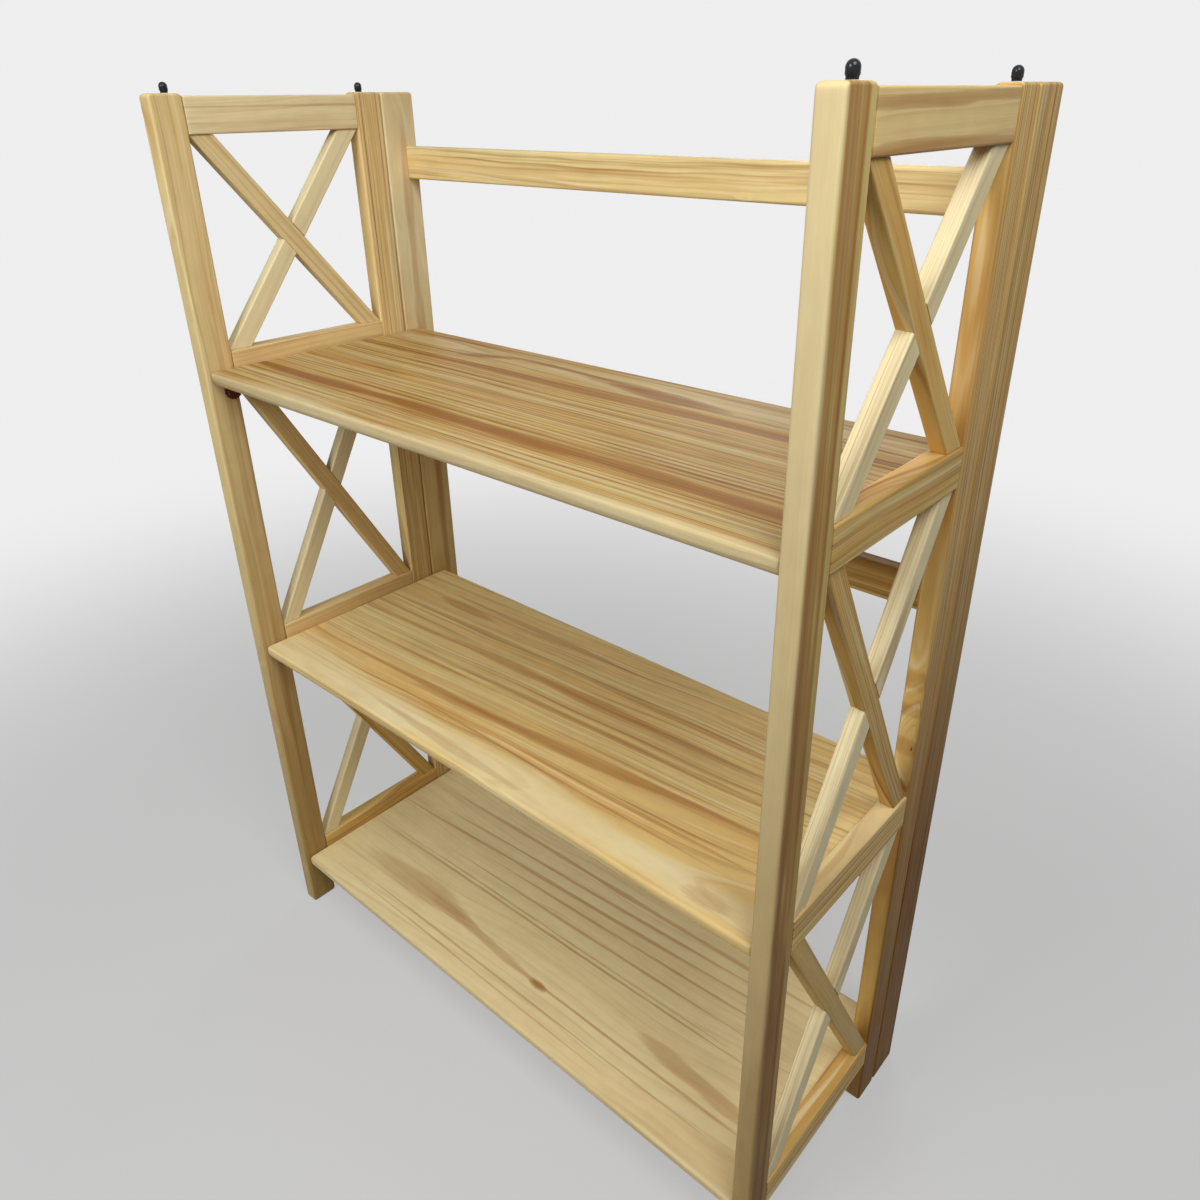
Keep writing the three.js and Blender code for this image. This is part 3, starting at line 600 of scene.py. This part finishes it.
    # Browning from age and painted shade, strongest at the low end of some posts.
    browned = add("Math", (browned, most_aged), operation="MULTIPLY", use_clamp=True)
    knot = add("MapRange", (knot, 0.25, 0.75), interpolation_type="SMOOTHSTEP")
    brown = add("Mix", {0: warm, FIRST: colours.summer_brown, SECOND: colours.summer_red}, data_type="RGBA")
    wood = colours.straw
    for share, colour, kind in (
            (warm, colours.honey, "MIX"), (pale, colours.cream, "MIX"), (line, brown.outputs[MIXED], "MIX"),
            (gleam, colours.cream, "MIX"), (heart, colours.heart, "MIX"), (browned, colours.aged, "MULTIPLY"),
            (knot, colours.knot, "MIX")):
        wood = add("Mix", {0: share, FIRST: wood, SECOND: colour}, data_type="RGBA", blend_type=kind).outputs[MIXED]
    # Fibres are some 0.3 mm wide; they are drawn 0.8 mm wide so that they show. Broader clouds go with them, from
    # 0.92 to 1.08 of the wood's colour
    fibre = noise(46, 0.8, 3, 0.6)
    level = add("Math", (fibre, sizes.fibre_depth, 1 - sizes.fibre_depth / 2), operation="MULTIPLY_ADD")
    mottle = add("Math", (noise(22, 11, 3), 0.16, 0.92), operation="MULTIPLY_ADD")
    level = add("Math", (level, mottle), operation="MULTIPLY")
    wood = add("VectorMath", {0: wood, "Scale": level}, operation="SCALE")

    # The lacquer film follows the summer lines, which stand a little proud of the sanded spring wood, and its
    # sheen varies by 0.08 either way
    relief = add("Math", (line, 0.5, add("Math", (fibre, 0.5), operation="MULTIPLY")), operation="MULTIPLY_ADD")
    bump = add("Bump", {"Height": relief, "Strength": 0.25, "Distance": 0.12 * MM})
    rough = add("Math", (noise(30, 16, 2), 0.16, sizes.sheen_roughness - 0.08), operation="MULTIPLY_ADD")
    feed(shader, {"Base Color": wood, "Normal": bump, "Roughness": rough, "IOR": 1.5, "Specular IOR Level": 0.03,
                  "Coat Weight": 0.02, "Coat Roughness": 0.2})
    return material


def moulded_black_plastic(colours):
    """Black acetal, injection moulded in polished steel: a smooth, nearly black skin with a clear wet gloss
    and the faint ripple that shrinking leaves, with a roughness from 0.14 to 0.24."""
    material, add, shader = fresh("moulded_black_plastic")
    place = add("TexCoord").outputs["Object"]
    ripple = add("TexNoise", {"Vector": place, "Scale": 1 / (3 * MM), "Detail": 1.0})
    speck = add("TexNoise", {"Vector": place, "Scale": 1 / (0.6 * MM), "Detail": 2.0})
    shade = add("Mix", {0: ripple, FIRST: colours.peg_black, SECOND: colours.peg_edge}, data_type="RGBA")
    rough = add("Math", (speck, 0.1, 0.14), operation="MULTIPLY_ADD")
    bump = add("Bump", {"Height": ripple, "Strength": 0.15, "Distance": 0.1 * MM})
    feed(shader, {"Base Color": shade.outputs[MIXED], "Roughness": rough, "Normal": bump, "IOR": 1.48,
                  "Specular IOR Level": 0.3})
    return material


def metal(name, dark, light, roughness, blot_mm):
    """A metal whose tone wavers between two colours in blots of a given size, and whose polish wavers by 0.1
    either way in fine specks, of a roughness of its own."""
    material, add, shader = fresh(name)
    place = add("TexCoord").outputs["Object"]
    blot = add("TexNoise", {"Vector": place, "Scale": 1 / (blot_mm * MM), "Detail": 3.0})
    fine = add("TexNoise", {"Vector": place, "Scale": 1 / (0.4 * MM), "Detail": 2.0})
    shade = add("Mix", {0: blot, FIRST: dark, SECOND: light}, data_type="RGBA")
    rough = add("Math", (fine, 0.2, roughness - 0.1), operation="MULTIPLY_ADD")
    bump = add("Bump", {"Height": fine, "Strength": 0.2, "Distance": 0.05 * MM})
    feed(shader, {"Base Color": shade.outputs[MIXED], "Roughness": rough, "Normal": bump, "Metallic": 1.0})
    return material


# What a user would change


class BookcaseSizes(PropertyGroup):
    """Rounding of the boards, width of the braces, fineness of the meshes and finish of the wood"""
    post_corner: measure("Post corner", 4.0, "Rounding of a post's wide face at its ends")
    post_edge: measure("Post edge", 2.2, "Rounding of the posts' long edges")
    rail_edge: measure("Rail edge", 1.5, "Rounding of the rails' long edges")
    brace_edge: measure("Brace edge", 1.6, "Rounding of the braces' long edges")
    brace_width: measure("Brace width", 19.0, "Width of a brace, square to its length")
    shelf_arris: measure("Shelf arris", 3.2, "Rounding of a shelf's front edge, above")
    shelf_nose: measure("Shelf nose", 7.5, "Rounding of a shelf's front edge, below")
    shelf_rear: measure("Shelf rear", 3.0, "Rounding of a shelf's rear edge")
    grid: measure("Grid", 7.0, "Distance between points along a board")
    peg_sides: IntProperty(name="Peg sides", description="Sides of a stacking peg", default=48, min=12)
    fibre_depth: FloatProperty(
        name="Fibre depth", description="How much single fibres lighten and darken the wood",
        default=0.16, min=0.0, max=1.0, subtype="FACTOR")
    sheen_roughness: FloatProperty(
        name="Sheen roughness", description="Roughness of the satin lacquer",
        default=0.42, min=0.1, max=1.0, subtype="FACTOR")

    def mm(self, name):
        """A length in millimetres."""
        return getattr(self, name) / MM


class BookcaseColours(PropertyGroup):
    """Colours of the wood, the pegs, the metal and the floor"""
    # Cream is the colour of sapwood, of painted light on paler boards and of the painted glints.
    cream: hue("Cream", "#efe3ba", "Palest sapwood")
    straw: hue("Straw", "#e3cd88", "Pale spring wood")
    honey: hue("Honey", "#e0ab56", "Warm spring wood")
    summer_brown: hue("Summer brown", "#a87434", "Summer line in cool wood")
    summer_red: hue("Summer red", "#9a5c28", "Summer line in warm wood")
    heart: hue("Heart", "#a3682a", "Reddish stain of heartwood")
    # This colour browns old wood, and paints shade on boards turned from the light and at the posts' feet.
    aged: hue("Aged", "#9c8034", "What darkens old and shaded wood")
    knot: hue("Knot", "#5a3820", "Middle of a knot")
    peg_black: hue("Peg black", "#101114", "Stacking pegs")
    peg_edge: hue("Peg grey", "#1c1e22", "Stacking pegs, lighter blots")
    bronze_dark: hue("Bronze dark", "#2e1811", "Rest pins, darker")
    bronze_light: hue("Bronze light", "#55301f", "Rest pins, lighter")
    zinc_dark: hue("Zinc dark", "#8f9194", "Pivot pins, darker")
    zinc_light: hue("Zinc light", "#b4b6b8", "Pivot pins, lighter")
    brass_dark: hue("Brass dark", "#a07a38", "Hinge halves, darker")
    brass_light: hue("Brass light", "#c29a52", "Hinge halves, lighter")
    floor: hue("Floor", "#b4b4b4", "Painted floor")


class BookcaseStudio(PropertyGroup):
    """Camera, lamps and surroundings"""
    place: FloatVectorProperty(
        name="Camera place", description="Where the camera stands", size=3, subtype="TRANSLATION", unit="LENGTH",
        default=(0.5885, -0.5768, 0.95177))
    turn: FloatVectorProperty(
        name="Camera turn", description="Heading to the left, tilt and roll of the camera", size=3, unit="ROTATION",
        default=(math.radians(41.173), math.radians(-26.879), math.radians(-0.583)))
    lens: FloatProperty(name="Lens", description="Focal length", default=28.482, min=1.0, unit="CAMERA")
    shift: FloatVectorProperty(
        name="Shift", description="Camera shift, to fit the photograph's framing", size=2, default=(-0.0163, -0.0196))
    key_power: FloatProperty(
        name="Key lamp", description="Soft lamp before the front", default=13.2, unit="POWER")
    side_power: FloatProperty(
        name="Side lamp", description="Soft lamp to the right", default=13.6, unit="POWER")
    top_power: FloatProperty(
        name="Top lamp", description="Wide lamp overhead", default=1.5, unit="POWER")
    back_power: FloatProperty(
        name="Back lamp", description="Soft lamp behind, that lights the back frame", default=6.0, unit="POWER")
    world_level: FloatProperty(
        name="World level", description="Light from all round", default=0.12, min=0.0)
    backdrop: FloatProperty(
        name="Backdrop", description="How pale the distance looks, where 1 is white", default=0.86, min=0.0, max=1.0)


class BOOKCASE_OT_finishes(Operator):
    """Makes the pine, plastic and metal finishes and gives the hidden fittings theirs"""
    bl_idname = "bookcase.finishes"
    bl_label = "Finishes"

    def execute(self, context):
        colours, sizes = context.scene.bookcase_colours, context.scene.bookcase_sizes
        clear_lacquered_pine(colours, sizes)
        moulded_black_plastic(colours)
        # Steel, browned in a chemical bath: dark, reddish, with a low soft gleam
        metal("browned_steel", colours.bronze_dark, colours.bronze_light, 0.4, 2.0)
        # Drawn steel wire, zinc plated: pale grey with a fine haze
        zinc = metal("zinc_plated_steel", colours.zinc_dark, colours.zinc_light, 0.38, 1.5)
        # Turned brass, unlacquered and slightly tarnished
        brass = metal("turned_brass", colours.brass_dark, colours.brass_light, 0.34, 2.5)
        for name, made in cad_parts.items():
            if name.endswith("_pivot_pin"):
                self.dress(made, zinc)
            elif name.endswith("_half"):
                self.dress(made, brass)
        return {"FINISHED"}

    @staticmethod
    def dress(made, material):
        """Gives a CAD node's object a finish."""
        made.data.materials.clear()
        made.data.materials.append(material)


# Pieces. A board's spacing is how far apart its points lie along it and round it, in millimetres: the finest is
# for the shelves, whose lines show most

COARSE, FINE, FINEST = 4.0, 3.0, 1.5
FIRST_SEEDS = {"posts": 0, "side_rails": 200, "braces": 300, "back_rails": 400, "shelves": 500}
RAIL_END, BACK_RAIL_END, SHELF_END = (0.4, 0.4), (0.5, 0.5), (3.5, 2.0)  # rounding, seen flat and from the edge


class BOOKCASE_OT_posts(Operator):
    """Four posts of the side frames and two stiles of the back frame"""
    bl_idname = "bookcase.posts"
    bl_label = "Posts and stiles"

    def execute(self, context):
        sizes = context.scene.bookcase_sizes
        names = [f"{side}_{upright}" for side in SIDES for upright in UPRIGHTS]
        for seed, name in enumerate(names, FIRST_SEEDS["posts"]):
            board = board_between(
                *box_mm(name), Z, Y, X, edge_round=[sizes.mm("post_edge")] * 4,
                end_round=(sizes.mm("post_corner"), sizes.mm("post_edge")),
                spacing=(min(sizes.mm("grid"), COARSE), COARSE))
            wooden(name, board, board_rings(board), "frame", seed)
        return {"FINISHED"}


class BOOKCASE_OT_side_rails(Operator):
    """Four rails across each side frame, between the posts"""
    bl_idname = "bookcase.side_rails"
    bl_label = "Side rails"

    def execute(self, context):
        sizes = context.scene.bookcase_sizes
        names = [f"{side}_{rail}" for side in SIDES for rail in RAILS]
        for seed, name in enumerate(names, FIRST_SEEDS["side_rails"]):
            low, high = box_mm(name)
            # The tenons stay hidden in the posts: what shows is as long as the braces' run
            low[1], high[1] = (corner[1] for corner in box_mm(name.split("_")[0] + "_top_falling_brace"))
            board = board_between(
                low, high, Y, Z, X, edge_round=[sizes.mm("rail_edge")] * 4, end_round=RAIL_END,
                spacing=(sizes.mm("grid"), COARSE))
            wooden(name, board, board_rings(board), "frame", seed)
        return {"FINISHED"}


class BOOKCASE_OT_braces(Operator):
    """Two crossed braces in each panel of the side frames, halved together where they cross"""
    bl_idname = "bookcase.braces"
    bl_label = "Crossed braces"

    def execute(self, context):
        sizes = context.scene.bookcase_sizes
        width = sizes.mm("brace_width")
        names = [f"{side}_{level}_{kind}_brace"
                 for side in SIDES for level in LEVELS for kind in ("falling", "rising")]
        for seed, name in enumerate(names, FIRST_SEEDS["braces"]):
            falling = "falling" in name
            low, high = box_mm(name)
            thickness, run, height = high - low
            # The foot is the level width, and run less foot is what the middle line covers. The foot is as much
            # longer than the square width as the middle line is longer than the height
            foot = width * (height * math.sqrt(run ** 2 + height ** 2 - width ** 2) - width * run) \
                / (height ** 2 - width ** 2)
            slope = (run - foot) / height * (-1 if falling else 1)
            along = np.array([0, slope, 1]) / math.hypot(slope, 1)
            board = {
                "middle": (low + high) / 2, "along": along, "across": np.cross(along, X), "through": X,
                "foot": foot, "height": height, "slope": slope, "thickness": thickness,
                "edge_round": [sizes.mm("brace_edge")] * 4, "spacing": (sizes.mm("grid"), COARSE)}
            wooden(name, board, brace_rings(board, 1 if falling else -1), "frame", seed)
        return {"FINISHED"}


class BOOKCASE_OT_back_rails(Operator):
    """Three rails of the back frame, between the stiles"""
    bl_idname = "bookcase.back_rails"
    bl_label = "Back rails"

    def execute(self, context):
        sizes = context.scene.bookcase_sizes
        inner = box_mm("left_stile")[1][0] + GLUE_LINE
        for seed, name in enumerate((f"{level}_back_rail" for level in LEVELS), FIRST_SEEDS["back_rails"]):
            low, high = box_mm(name)
            low[0], high[0] = inner, -inner
            board = board_between(
                low, high, X, Z, Y, edge_round=[sizes.mm("post_edge")] * 4, end_round=BACK_RAIL_END,
                spacing=(sizes.mm("grid"), FINE))
            wooden(name, board, board_rings(board), "frame", seed)
        return {"FINISHED"}


class BOOKCASE_OT_shelves(Operator):
    """Three shelves, each riding on its own pivot"""
    bl_idname = "bookcase.shelves"
    bl_label = "Shelves"

    def execute(self, context):
        sizes = context.scene.bookcase_sizes
        arris, nose, rear = sizes.mm("shelf_arris"), sizes.mm("shelf_nose"), sizes.mm("shelf_rear")
        for seed, name in enumerate((f"{level}_shelf" for level in LEVELS), FIRST_SEEDS["shelves"]):
            board = board_between(
                *box_mm(name), X, Y, Z, edge_round=[nose, rear, rear, arris], end_round=SHELF_END,
                spacing=(sizes.mm("grid"), FINEST))
            wooden(name, board, board_rings(board), name, seed)
        return {"FINISHED"}


class BOOKCASE_OT_pegs(Operator):
    """Black stacking pegs on the posts' tops: a short round neck under a ball-nosed head"""
    bl_idname = "bookcase.pegs"
    bl_label = "Stacking pegs"

    def execute(self, context):
        sides = context.scene.bookcase_sizes.peg_sides
        # In radii of the head: the neck's own, and how far below the top the neck ends and the head is full
        neck, neck_end, shoulder = 0.86, 2.05, 1.75
        ball_points = 12
        turn = np.linspace(0, math.pi / 2, ball_points)[:-1]
        for name in (f"{side}_{end}_peg" for side in SIDES for end in ("front", "rear")):
            low, high = box_mm(name)
            top = box_mm(f"{name[:-4]}_post")[1][2]
            radius, tall = (high[0] - low[0]) / 2, high[2] - top
            profile = [(radius * neck, GLUE_LINE), (radius * neck, tall - neck_end * radius),
                       (radius, tall - shoulder * radius)]
            profile += list(zip(radius * np.cos(turn), tall - radius + radius * np.sin(turn)))
            start = np.array([(low[0] + high[0]) / 2, (low[1] + high[1]) / 2, top])
            piece(name + "_moulded", turned_rings(profile, sides, start, Z, X),
                  bpy.data.materials["moulded_black_plastic"], "frame", [name])
        return {"FINISHED"}


class BOOKCASE_OT_rest_pins(Operator):
    """Round fluted pins on the front posts' inner faces that the shelves' front corners rest on"""
    bl_idname = "bookcase.rest_pins"
    bl_label = "Rest pins"

    def execute(self, context):
        flutes, sides_each, groove = 14, 8, 0.13  # the groove is how deep a flute goes, as a share of the radius
        rim, rim_points = 2.2, 6  # rounding of the outer edge, and the points round it
        lead, bevel = 0.6, 0.4  # the straight before the rim, and the bevel at the post
        well, well_rim, well_foot, well_floor = 0.5, 0.55, 0.5, 0.2  # depth of the hollow in its face, then its radii
        turn = np.linspace(0, math.pi / 2, rim_points)
        face = box_mm("left_front_post")[1][0]
        for name in (f"{side}_{level}_rest_pin" for side in SIDES for level in LEVELS):
            low, high = box_mm(name)
            inward = 1 if name.startswith("left") else -1
            reach = abs(face) - min(abs(low[0]), abs(high[0]))
            radius = (high[2] - low[2]) / 2
            profile = [(radius - bevel, GLUE_LINE), (radius, GLUE_LINE + bevel), (radius, reach - rim - lead)]
            profile += list(zip(radius - rim + rim * np.cos(turn), reach - rim + rim * np.sin(turn)))
            profile += [(radius * well_rim, reach), (radius * well_foot, reach - well),
                        (radius * well_floor, reach - well)]
            start = np.array([inward * face, (low[1] + high[1]) / 2, (low[2] + high[2]) / 2])
            piece(name + "_turned", turned_rings(profile, sides_each * flutes, start, inward * X, Z, flutes, groove),
                  bpy.data.materials["browned_steel"], "frame", [name])
        return {"FINISHED"}


class BOOKCASE_OT_stage(Operator):
    """A plain pale floor, the lamps, the world and the camera"""
    bl_idname = "bookcase.stage"
    bl_label = "Stage"

    def execute(self, context):
        scene, studio = context.scene, context.scene.bookcase_studio
        scene.view_settings.view_transform = "Standard"
        self.floor(scene, studio)
        self.lamps(scene, studio)
        self.camera(scene, studio)
        return {"FINISHED"}

    @staticmethod
    def floor(scene, studio):
        """A flat disc: radius r and angle a give (r cos a, r sin a, 0)."""
        radii, sides = (500.0, 1000.0, 2000.0, 4000.0, 9000.0), 64
        rings = turned_rings([(radius, 0.0) for radius in radii], sides, np.zeros(3), Z, X)
        points = np.concatenate([rings.reshape(-1, 3), np.zeros((1, 3))])
        step = np.arange(sides)
        after = (step + 1) % sides
        ring = np.arange(len(radii) - 1)[:, None] * sides
        quads = np.stack([ring + step, ring + sides + step, ring + sides + after, ring + after], 2).reshape(-1, 4)
        fans = np.stack([step, after, np.full(sides, len(points) - 1)], 1)
        mesh = bpy.data.meshes.new("floor")
        mesh.from_pydata((points * MM).tolist(), [], quads.tolist() + fans.tolist())
        made = bpy.data.objects.new("floor", mesh)
        scene.collection.objects.link(made)
        # Matt emulsion paint: even, pale, in clouds darker by a trace, and without gloss
        material, add, shader = fresh("matt_pale_paint")
        place = add("TexCoord").outputs["Object"]
        cloud = add("TexNoise", {"Vector": place, "Scale": 0.8, "Detail": 1.0})
        pale = tuple(scene.bookcase_colours.floor)
        trace = 0.97
        dim = tuple(c * trace for c in pale[:3]) + (1.0,)
        paint = add("Mix", {0: cloud, FIRST: dim, SECOND: pale}, data_type="RGBA").outputs[MIXED]
        feed(shader, {"Base Color": paint, "Roughness": 0.9, "Specular IOR Level": 0.1})
        # The camera sees it fade into the pale distance, between these metres from the middle and these shares
        fade_from, fade_to, least, most = 0.5, 2.2, 0.45, 1.0
        away = add("VectorMath", (place,), operation="LENGTH").outputs["Value"]
        far = add("MapRange", (away, fade_from, fade_to, least, most), interpolation_type="SMOOTHERSTEP")
        shown = add("Math", (far, seen_straight(material.node_tree)), operation="MULTIPLY")
        glow = add("Emission", {"Color": (1, 1, 1, 1), "Strength": studio.backdrop})
        feed(material.node_tree.get_output_node("ALL"), {"Surface": add("MixShader", (shown, shader, glow))})
        mesh.materials.append(material)

    @staticmethod
    def lamps(scene, studio):
        """Soft round lamps before the front, to its right, overhead and behind, each with its place, what it is
        turned to, its width and its power, and an even world."""
        for name, place, aim, size, power in (
                ("key", (0.0, -1.3, 1.45), (0.0, 0.0, 0.45), 0.7, studio.key_power),
                ("side", (0.9, -0.5, 1.8), (-0.2, 0.0, 0.6), 0.8, studio.side_power),
                ("overhead", (0.0, -0.1, 2.3), (0.0, 0.0, 0.0), 2.2, studio.top_power),
                ("behind", (-0.6, 1.5, 0.8), (0.0, 0.1, 0.5), 0.9, studio.back_power)):
            lamp = bpy.data.lights.new(name, "AREA")
            lamp.shape, lamp.size, lamp.energy = "DISK", size, power
            # The lamp behind would gleam in the shelves' lacquer, which the photograph does not show
            lamp.specular_factor = 0.0 if name == "behind" else 1.0
            made = bpy.data.objects.new(name, lamp)
            made.location = place
            made.rotation_euler = (Vector(aim) - Vector(place)).to_track_quat("-Z", "Y").to_euler()
            scene.collection.objects.link(made)
        world = bpy.data.worlds.new("studio")
        world.use_nodes = True
        world.node_tree.nodes.clear()
        add = partial(node, world.node_tree)
        level = add("Math", (seen_straight(world.node_tree), studio.backdrop - studio.world_level,
                             studio.world_level), operation="MULTIPLY_ADD")
        add("OutputWorld", {"Surface": add("Background", {"Color": (1, 1, 1, 1), "Strength": level})})
        scene.world = world

    @staticmethod
    def camera(scene, studio):
        """A plain camera, turned by its heading, tilt and roll."""
        heading, tilt, roll = studio.turn
        lens = bpy.data.cameras.new("camera")
        lens.sensor_width, lens.lens = 36.0, studio.lens
        lens.shift_x, lens.shift_y = studio.shift
        made = bpy.data.objects.new("camera", lens)
        ahead = Vector((-math.sin(heading) * math.cos(tilt), math.cos(heading) * math.cos(tilt), math.sin(tilt)))
        right = Vector((math.cos(heading), math.sin(heading), 0))
        level = Matrix((right, right.cross(ahead), -ahead)).transposed()
        made.rotation_euler = (level @ Matrix.Rotation(roll, 3, "Z")).to_euler()
        made.location = studio.place
        scene.collection.objects.link(made)
        scene.camera = made


class BOOKCASE_PT_panel(Panel):
    """Lists the settings and the pieces in the sidebar"""
    bl_idname = "BOOKCASE_PT_panel"
    bl_label = "Folding bookcase"
    bl_space_type = "VIEW_3D"
    bl_region_type = "UI"
    bl_category = "Bookcase"

    def draw(self, context):
        """A box of settings for each group, then a button for each operator."""
        for group in GROUPS:
            settings = getattr(context.scene, group)
            box = self.layout.box()
            for key in settings.bl_rna.properties.keys():
                if key not in ("rna_type", "name"):
                    box.prop(settings, key)
        for operator in OPERATORS:
            self.layout.operator(operator.bl_idname)


OPERATORS = (BOOKCASE_OT_finishes, BOOKCASE_OT_posts, BOOKCASE_OT_side_rails, BOOKCASE_OT_braces,
             BOOKCASE_OT_back_rails, BOOKCASE_OT_shelves, BOOKCASE_OT_pegs, BOOKCASE_OT_rest_pins,
             BOOKCASE_OT_stage)
GROUPS = {"bookcase_sizes": BookcaseSizes, "bookcase_colours": BookcaseColours, "bookcase_studio": BookcaseStudio}


def register():
    """Adds the classes to Blender and the groups of settings to its scenes."""
    for cls in (*GROUPS.values(), *OPERATORS, BOOKCASE_PT_panel):
        bpy.utils.register_class(cls)
    for key, cls in GROUPS.items():
        setattr(bpy.types.Scene, key, PointerProperty(type=cls))


def unregister():
    """Takes them out again, in reverse."""
    for key in GROUPS:
        delattr(bpy.types.Scene, key)
    for cls in reversed((*GROUPS.values(), *OPERATORS, BOOKCASE_PT_panel)):
        bpy.utils.unregister_class(cls)


def main():
    """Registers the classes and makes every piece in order."""
    register()
    bpy.ops.bookcase.finishes()
    bpy.ops.bookcase.posts()
    bpy.ops.bookcase.side_rails()
    bpy.ops.bookcase.braces()
    bpy.ops.bookcase.back_rails()
    bpy.ops.bookcase.shelves()
    bpy.ops.bookcase.pegs()
    bpy.ops.bookcase.rest_pins()
    bpy.ops.bookcase.stage()


if __name__ == "__main__":
    main()
